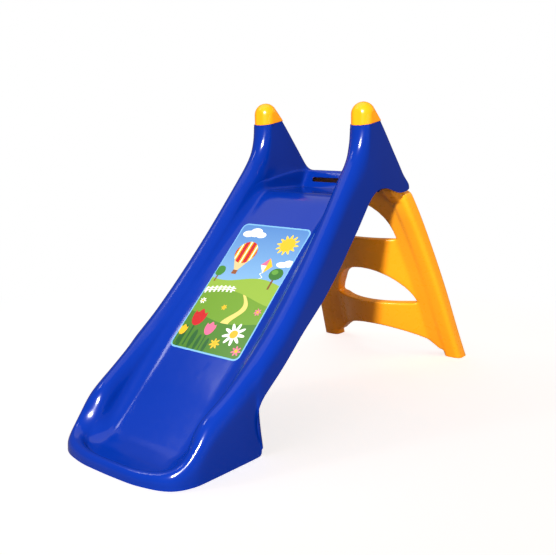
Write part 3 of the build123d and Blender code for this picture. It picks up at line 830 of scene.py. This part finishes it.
# %% [markdown]
# ## The label
#
# A thin printed sheet with round corners, just off the deck. A square grid
# gets round corners by pulling each corner square into a quarter disc.

# %% Make the label
LABEL_HALF, LABEL_LENGTH, LABEL_ROUND = 103.0, 372.0, 16.0
LABEL_LIFT, LABEL_THICK = 0.6, 0.35


def rounded_grid(half_x, half_y, radius, nx, ny):
    """A grid over a rectangle whose corner squares are pulled into quarter discs."""
    x, y = np.meshgrid(np.linspace(-half_x, half_x, nx), np.linspace(-half_y, half_y, ny))
    dx, dy = np.maximum(np.abs(x) - half_x + radius, 0), np.maximum(np.abs(y) - half_y + radius, 0)
    pull = np.where((dx > 0) & (dy > 0), np.maximum(dx, dy) / np.hypot(dx, dy).clip(1e-6), 1)
    x = np.where(pull < 1, np.sign(x) * (half_x - radius + dx * pull), x)
    y = np.where(pull < 1, np.sign(y) * (half_y - radius + dy * pull), y)
    return x, y


across, along = rounded_grid(LABEL_HALF, LABEL_LENGTH / 2, LABEL_ROUND, 53, 95)
down = LABEL_LENGTH / 2 - along
sheet = np.stack([
    across,
    DECK_AT[0] - down * math.cos(deck_angle) - LABEL_LIFT * math.sin(deck_angle),
    DECK_AT[1] - down * math.sin(deck_angle) + LABEL_LIFT * math.cos(deck_angle),
], axis=2)
label = new_mesh("label_sheet", sheet, grid_faces(*across.shape))
edit(label, face_up)
print_map = label.data.uv_layers.new(name="print")
point_of_corner = np.empty(len(label.data.loops), int)
label.data.loops.foreach_get("vertex_index", point_of_corner)
spots = np.stack([across / LABEL_HALF, along / LABEL_LENGTH + 0.5], axis=2).reshape(-1, 2)
print_map.data.foreach_set("uv", spots[point_of_corner].ravel())
thick = label.modifiers.new("thick", "SOLIDIFY")
thick.thickness, thick.offset = LABEL_THICK * MM, -1
settle(label)
smooth(label)
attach(label, "chute_body")
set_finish(label, "label_vinyl")
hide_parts("slide_label")
print("label:", len(label.data.polygons), "faces")

# %% [markdown]
# ## Finishes
#
# Nearly everything is moulded plastic. A node tree is written as arithmetic on
# signals: a signal is one output of the tree, and adding or multiplying two of
# them adds a maths node.

# %% Signals
class Signal:
    """One output of a node tree, which can be used like a number."""

    def __init__(self, tree, socket):
        self.tree, self.socket = tree, socket

    def node(self, kind, settings, inputs, output=0):
        """Add a node: its type, its settings, then its inputs by name or number."""
        made = self.tree.nodes.new(kind)
        for key, value in settings.items():
            setattr(made, key, value)
        for key, value in inputs.items():
            if isinstance(value, Signal):
                self.tree.links.new(value.socket, made.inputs[key])
            else:
                made.inputs[key].default_value = value
        return Signal(self.tree, made.outputs[output])

    def maths(self, operation, *others):
        """A maths node with this signal first and the others after it."""
        return self.node("ShaderNodeMath", {"operation": operation}, dict(enumerate((self, *others))))

    def __add__(self, other):
        return self.maths("ADD", other)

    def __sub__(self, other):
        return self.maths("SUBTRACT", other)

    def __rsub__(self, other):
        return self * -1.0 + other

    def __mul__(self, other):
        return self.maths("MULTIPLY", other)

    def __gt__(self, other):
        return self.maths("GREATER_THAN", other)

    def __lt__(self, other):
        return self.maths("LESS_THAN", other)

    __radd__, __rmul__ = __add__, __mul__

    def mix(self, low, high):
        """A colour that goes from low to high as this signal goes from 0 to 1."""
        inputs = {0: self, 6: low, 7: high}
        return self.node("ShaderNodeMix", {"data_type": "RGBA"}, inputs, output=2)

    def bump(self, height, **others):
        """A normal that follows this signal, where 1 stands for a height in millimetres."""
        inputs = {"Height": self, "Strength": 1.0, "Distance": height * MM, **others}
        return self.node("ShaderNodeBump", {}, inputs)

    def noise(self, scale, detail=2.0):
        """Noise at a scale per metre, where this signal is the place."""
        return self.node("ShaderNodeTexNoise", {}, {"Vector": self, "Scale": scale, "Detail": detail})


def colour(red, green, blue):
    """A display colour, 0 to 255, as linear light."""
    parts = [part / 255 for part in (red, green, blue)]
    return (*[((c + 0.055) / 1.055) ** 2.4 if c > 0.04 else c / 12.92 for c in parts], 1.0)


def new_finish(name, **constants):
    """A new material: its shader and a signal that holds the place on the object."""
    finish = bpy.data.materials.new(name)
    finish.use_nodes = True
    tree = finish.node_tree
    shader = tree.nodes["Principled BSDF"]
    for key, value in constants.items():
        shader.inputs[key.replace("_", " ")].default_value = value
    place = Signal(tree, tree.nodes.new("ShaderNodeTexCoord").outputs["Object"])
    return finish, shader, place


# %% [markdown]
# ## Moulded plastic
#
# The colour wanders a little over a hand's width, the gloss a little more, and
# two sizes of faint waviness bend the highlights as on a large moulding.

# %% Moulded plastics
def moulded(name, deep, pale, gloss, wave, grain, **constants):
    """Moulded plastic between two close colours."""
    finish, shader, place = new_finish(name, **constants)
    tone = place.noise(9.0)
    rough = place.noise(60.0) * 0.06 + gloss
    swell = place.noise(28.0, 1.0)
    skin = place.noise(900.0, 1.0)
    bump = swell.bump(wave)
    bump = skin.bump(grain, Normal=bump)
    place.tree.links.new(tone.mix(deep, pale).socket, shader.inputs["Base Color"])
    place.tree.links.new(rough.socket, shader.inputs["Roughness"])
    place.tree.links.new(bump.socket, shader.inputs["Normal"])
    return finish


blue_plastic = moulded(
    "blue_plastic", (0.0, 0.017, 0.20, 1), (0.001, 0.020, 0.22, 1),
    gloss=0.12, wave=0.25, grain=0.001, Specular_IOR_Level=0.4)
yellow_plastic = moulded(
    "yellow_plastic", (0.93, 0.325, 0.008, 1), (0.96, 0.35, 0.01, 1),
    gloss=0.25, wave=0.25, grain=0.0005)
cap_yellow = moulded(
    "cap_yellow", (0.90, 0.28, 0.004, 1), (0.93, 0.30, 0.005, 1), gloss=0.22, wave=0.1, grain=0.002)
nylon = moulded(
    "nylon", (0.70, 0.69, 0.62, 1), (0.76, 0.75, 0.68, 1), gloss=0.38, wave=0.02, grain=0.01)
print("plastics:", blue_plastic.name, yellow_plastic.name, cap_yellow.name, nylon.name)


def metal(name, deep, pale, gloss):
    """Turned and plated metal: fine streaks in its gloss."""
    finish, shader, place = new_finish(name, Metallic=1.0)
    rough = place.noise(1500.0) * 0.12 + gloss
    tone = place.noise(200.0)
    place.tree.links.new(tone.mix(deep, pale).socket, shader.inputs["Base Color"])
    place.tree.links.new(rough.socket, shader.inputs["Roughness"])
    return finish


steel = metal("zinc_steel", (0.50, 0.51, 0.52, 1), (0.58, 0.59, 0.60, 1), 0.26)
brass = metal("brass", (0.62, 0.42, 0.13, 1), (0.70, 0.48, 0.16, 1), 0.24)

# %% [markdown]
# ## The label's print
#
# A cheerful countryside scene of its own design, in millimetres on the label:
# sky, sun and a striped balloon above, hills, a fence and a path in the middle,
# and large flowers in front. Each shape is a mask that is 1 inside it, and each
# mask lays its colour over what is already there, like cut paper.

# %% Masks on the label
label_print, label_shader, label_place = new_finish("label_print", Roughness=0.27)
printed = label_place.node("ShaderNodeUVMap", {"uv_map": "print"}, {})
split = printed.node("ShaderNodeSeparateXYZ", {}, {0: printed})
px = split * LABEL_HALF
py = Signal(split.tree, split.socket.node.outputs[1]) * LABEL_LENGTH


def disc(cx, cy, rx, ry=None):
    """Inside an ellipse: the squares of the two scaled distances add up to less than 1."""
    dx, dy = (px - cx) * (1 / rx), (py - cy) * (1 / (ry or rx))
    return dx * dx + dy * dy < 1.0


def bar(x0, x1, y0, y1):
    """Inside a rectangle."""
    return (px > x0) * (px < x1) * (py > y0) * (py < y1)


def hill(height, swing, length, shift):
    """How far a place lies above a hill's sine-shaped outline."""
    return py - height - (px * (1 / length) + shift).maths("SINE") * swing


def petals(cx, cy, radius, count, dent=0.28):
    """Inside a flower or star: its radius swells and shrinks as a cosine, count times around."""
    dx, dy = px - cx, py - cy
    reach = (dy.maths("ARCTAN2", dx) * count).maths("COSINE") * (dent * radius) + (1 - dent) * radius
    return (dx * dx + dy * dy).maths("SQRT") < reach


def union(*masks):
    """Inside any of several masks."""
    whole = masks[0]
    for mask in masks[1:]:
        whole = whole.maths("MAXIMUM", mask)
    return whole


# %% Paint the label
def ink(red, green, blue):
    """A display colour as ink, which is darker than it shows under strong light."""
    return (*[0.72 * part for part in colour(red, green, blue)[:3]], 1.0)


def paint(*layers):
    """Colours laid one over another: a ground, then pairs of a mask and its colour."""
    ground = layers[0]
    for mask, tint in layers[1:]:
        ground = mask.mix(ground, tint)
    return ground


def tulip(cx, cy, size, tint):
    """A tulip's masks and colours: stem, two leaves and a cup with three points."""
    stem = bar(cx - 0.07 * size, cx + 0.07 * size, cy - 2.2 * size, cy)
    leaf_a = disc(cx - 0.5 * size, cy - 1.5 * size, 0.2 * size, 0.85 * size)
    leaf_b = disc(cx + 0.5 * size, cy - 1.6 * size, 0.2 * size, 0.75 * size)
    points = ((px - cx) * (3 * math.pi / size)).maths("COSINE") * (0.16 * size) + (cy + 0.62 * size)
    cup = disc(cx, cy + 0.25 * size, 0.55 * size, 0.85 * size) * (py < points)
    return [(union(stem, leaf_a, leaf_b), ink(22, 82, 30)), (cup, tint)]


def daisy(cx, cy, radius, tint, count=9):
    """A daisy's masks and colours: its petals and its round heart."""
    return [(petals(cx, cy, radius, count), tint), (disc(cx, cy, 0.36 * radius), ink(214, 160, 20))]


BORDER = 4
white, red, pink, yellow = ink(226, 226, 222), ink(176, 12, 20), ink(206, 96, 132), ink(220, 172, 26)
high = py.maths("MULTIPLY_ADD", 1 / 180, -200 / 180)
far_hill, middle_hill, near_hill = hill(206, 9, 34, 0.4), hill(158, 13, 46, 2.1), hill(92, 9, 40, 4.4)
wander = px - 26 - (py * (1 / 17)).maths("SINE") * 15
path = (wander.maths("ABSOLUTE") < (170 - py) * 0.09 + 3.5) * (middle_hill < 0) * (near_hill > 0)
post = (px * (1 / 12)).maths("FRACT") < 0.42
rails = union((middle_hill > 1) * (middle_hill < 3.5), (middle_hill > 7) * (middle_hill < 9.5))
fence = union(post * (middle_hill < 13), rails) * (middle_hill > -5) * (px < -12)
stripes = ((px + 46) * (math.pi / 11)).maths("COSINE")
balloon = disc(-46, 284, 31, 33)
ropes = ((px + 46).maths("ABSOLUTE") < (py - 226) * 0.55 + 3) * (py > 228) * (py < 262)
kite_a, kite_b = px - 34, py - 254
kite = kite_a.maths("ABSOLUTE") + kite_b.maths("ABSOLUTE") * 0.75 < 17
tail = ((px - 34 - (py * 0.35).maths("SINE") * 5).maths("ABSOLUTE") < 1.2) * (py < 234) * (py > 204)
half_length = LABEL_LENGTH / 2
corner_x = px.maths("ABSOLUTE") - (LABEL_HALF - LABEL_ROUND)
corner_y = (py - half_length).maths("ABSOLUTE") - (half_length - LABEL_ROUND)
corner_x, corner_y = corner_x.maths("MAXIMUM", 0.0), corner_y.maths("MAXIMUM", 0.0)
border = corner_x * corner_x + corner_y * corner_y > (LABEL_ROUND - BORDER) ** 2

picture = paint(
    high.mix(ink(112, 158, 200), ink(66, 116, 180)),
    (petals(58, 320, 31, 12, 0.2), ink(214, 186, 70)), (disc(58, 320, 20), yellow),
    (union(disc(-72, 340, 17, 10), disc(-52, 346, 19, 14), disc(-33, 340, 15, 9)), white),
    (union(disc(74, 262, 16, 8), disc(90, 267, 14, 10)), white),
    (ropes, ink(200, 180, 130)), (balloon, red), (balloon * (stripes > 0.1), yellow),
    (balloon * (stripes > 0.93), white), (bar(-53, -39, 218, 230), ink(130, 70, 30)),
    (tail, white), (kite, pink), (kite * (kite_a > 0), yellow),
    (kite * (kite_b < 0) * (kite_a < 0), white),
    (far_hill < 0, ink(128, 160, 50)),
    (bar(70, 75, 190, 226), ink(112, 66, 30)), (disc(72.5, 234, 19, 17), ink(42, 104, 34)),
    (disc(67, 239, 9, 7), ink(84, 142, 50)), (bar(-90, -86, 190, 214), ink(112, 66, 30)),
    (disc(-88, 222, 14, 15), ink(52, 118, 38)),
    (middle_hill < 0, ink(96, 138, 30)), (path, ink(206, 188, 104)), (fence, white),
    (near_hill < 0, ink(62, 112, 26)),
    *daisy(-84, 132, 9, white, 7), *daisy(-14, 124, 8, yellow, 6), *daisy(82, 128, 10, pink, 7),
    *tulip(-66, 84, 34, red), *tulip(-18, 62, 26, pink), *tulip(-90, 46, 20, yellow),
    *daisy(54, 62, 30, white), *daisy(18, 30, 14, yellow, 7), *daisy(84, 24, 13, pink, 7),
    (border, ink(112, 168, 210)),
)
label_print.node_tree.links.new(picture.socket, label_shader.inputs["Base Color"])
film = label_place.noise(300.0).bump(0.02)
label_print.node_tree.links.new(film.socket, label_shader.inputs["Normal"])
print("label print:", len(label_print.node_tree.nodes), "nodes")

# %% Give every piece its finish
finishes = {
    "chute_plastic": blue_plastic, "ladder_plastic": yellow_plastic, "cap_plastic": cap_yellow,
    "label_vinyl": label_print, "screw_steel": steel, "insert_brass": brass, "bush_nylon": nylon,
}
node_finishes = {"chute": blue_plastic, "ladder": yellow_plastic, "slide_label": label_print}
for side in ("left", "right"):
    for node, finish in {
        "handle_cap": cap_yellow, "cap_screws": steel, "hinge_screw": steel, "hinge_washer": steel,
        "hinge_insert": brass, "hinge_bush": nylon,
    }.items():
        node_finishes[node + "_" + side] = finish
for piece in bpy.data.objects:
    finish = finishes.get(piece.get("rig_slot")) or node_finishes.get(piece.name)
    if piece.type == "MESH" and finish:
        if not piece.data.materials:
            piece.data.materials.append(None)
        for slot in piece.material_slots:
            slot.material = finish

# %% [markdown]
# ## Camera and studio
#
# The camera stands in front and to the right, just below the height of the
# caps. A small key lamp, above and behind it, throws the chute's crisp shadow
# over the ladder, and four weaker lamps fill in from the rear, the right,
# overhead and the left. The floor and the world look white to the camera
# without lighting the slide, and the key, the rear and the right lamp spare the
# floor, so that its shadow is soft.

# %% Camera
camera = bpy.data.objects.new("camera", bpy.data.cameras.new("camera"))
camera.data.lens = 48.48
camera.location = (1.094, -1.451, 0.667)
camera.rotation_euler = (math.radians(90 - 11.48), 0, math.radians(37.6))
bpy.context.scene.collection.objects.link(camera)
bpy.context.scene.camera = camera
bpy.context.scene.view_settings.view_transform = "Standard"


# %% Lights and floor
def softbox(name, place, aim, width, height, power, tint=(1, 1, 1)):
    """An area light at a place, turned to a point, in metres and watts."""
    light = bpy.data.lights.new(name, "AREA")
    light.shape, light.size, light.size_y = "RECTANGLE", width, height
    light.energy, light.color = power, tint
    lamp = bpy.data.objects.new(name, light)
    lamp.location = place
    lamp.visible_camera = False
    lamp.rotation_euler = (Vector(aim) - Vector(place)).to_track_quat("-Z", "Y").to_euler()
    bpy.context.scene.collection.objects.link(lamp)
    return lamp


key = softbox("key", (1.15, -2.63, 2.05), (0.05, 0.1, 0.35), 0.22, 0.22, 265, (1.0, 0.98, 0.95))
rear = softbox("rear", (0.9, 2.6, 1.9), (0, 0.2, 0.3), 2.0, 2.0, 40)
right = softbox("right", (2.0, -0.3, 0.4), (0.1, 0, 0.25), 1.2, 0.8, 14, (1.0, 0.93, 0.85))
softbox("overhead", (-0.8, 0.2, 2.6), (0, 0.1, 0.3), 2.4, 2.4, 13, (1.0, 0.95, 0.93))
softbox("left", (-1.62, -1.26, 2.56), (0, 0.24, 0.5), 0.45, 0.45, 6)
right.visible_glossy = rear.visible_glossy = False

FLOOR_HALF = 9000
floor_corners = [(x * FLOOR_HALF, y * FLOOR_HALF, 0) for x, y in ((-1, -1), (1, -1), (1, 1), (-1, 1))]
floor = new_mesh("floor", floor_corners, [(0, 1, 2, 3)])
floor_finish, floor_shader, floor_place = new_finish("floor", Roughness=0.9)
floor_shader.inputs["Base Color"].default_value = (0.80, 0.775, 0.77, 1)
tree = floor_finish.node_tree
seen = Signal(tree, tree.nodes.new("ShaderNodeLightPath").outputs["Is Camera Ray"])
glow = seen.node("ShaderNodeEmission", {}, {"Color": (1, 0.99, 0.995, 1), "Strength": seen * 0.8})
near_floor = seen.node("ShaderNodeAddShader", {}, {0: Signal(tree, floor_shader.outputs[0]), 1: glow})
far_floor = seen.node("ShaderNodeEmission", {}, {"Color": (1, 1, 1, 1), "Strength": 1.0})
distance = floor_place.node("ShaderNodeVectorMath", {"operation": "LENGTH"}, {0: floor_place}, output=1)
near_end, far_start = 0.9, 1.5
fade = {0: distance, 1: near_end, 2: far_start}
away = distance.node("ShaderNodeMapRange", {"interpolation_type": "SMOOTHSTEP"}, fade)
whole = seen.node("ShaderNodeMixShader", {}, {0: seen * away, 1: near_floor, 2: far_floor})
tree.links.new(whole.socket, tree.nodes["Material Output"].inputs["Surface"])
floor.data.materials.append(floor_finish)
spared = bpy.data.collections.new("lit_from_above_only")
spared.objects.link(floor)
spared.collection_objects[0].light_linking.link_state = "EXCLUDE"
for lamp in (key, rear, right):
    lamp.light_linking.receiver_collection = spared

world = bpy.data.worlds.new("studio")
world.use_nodes = True
sky = world.node_tree
ray = sky.nodes.new("ShaderNodeLightPath")
dim, bright = sky.nodes["Background"], sky.nodes.new("ShaderNodeBackground")
dim.inputs["Color"].default_value, dim.inputs["Strength"].default_value = (1, 0.82, 0.66, 1), 0.16
bright.inputs["Strength"].default_value = 1.0
bright.inputs["Color"].default_value = (1, 1, 1, 1)
both = sky.nodes.new("ShaderNodeMixShader")
sky.links.new(ray.outputs["Is Camera Ray"], both.inputs[0])
sky.links.new(dim.outputs[0], both.inputs[1])
sky.links.new(bright.outputs[0], both.inputs[2])
sky.links.new(both.outputs[0], sky.nodes["World Output"].inputs["Surface"])
bpy.context.scene.world = world
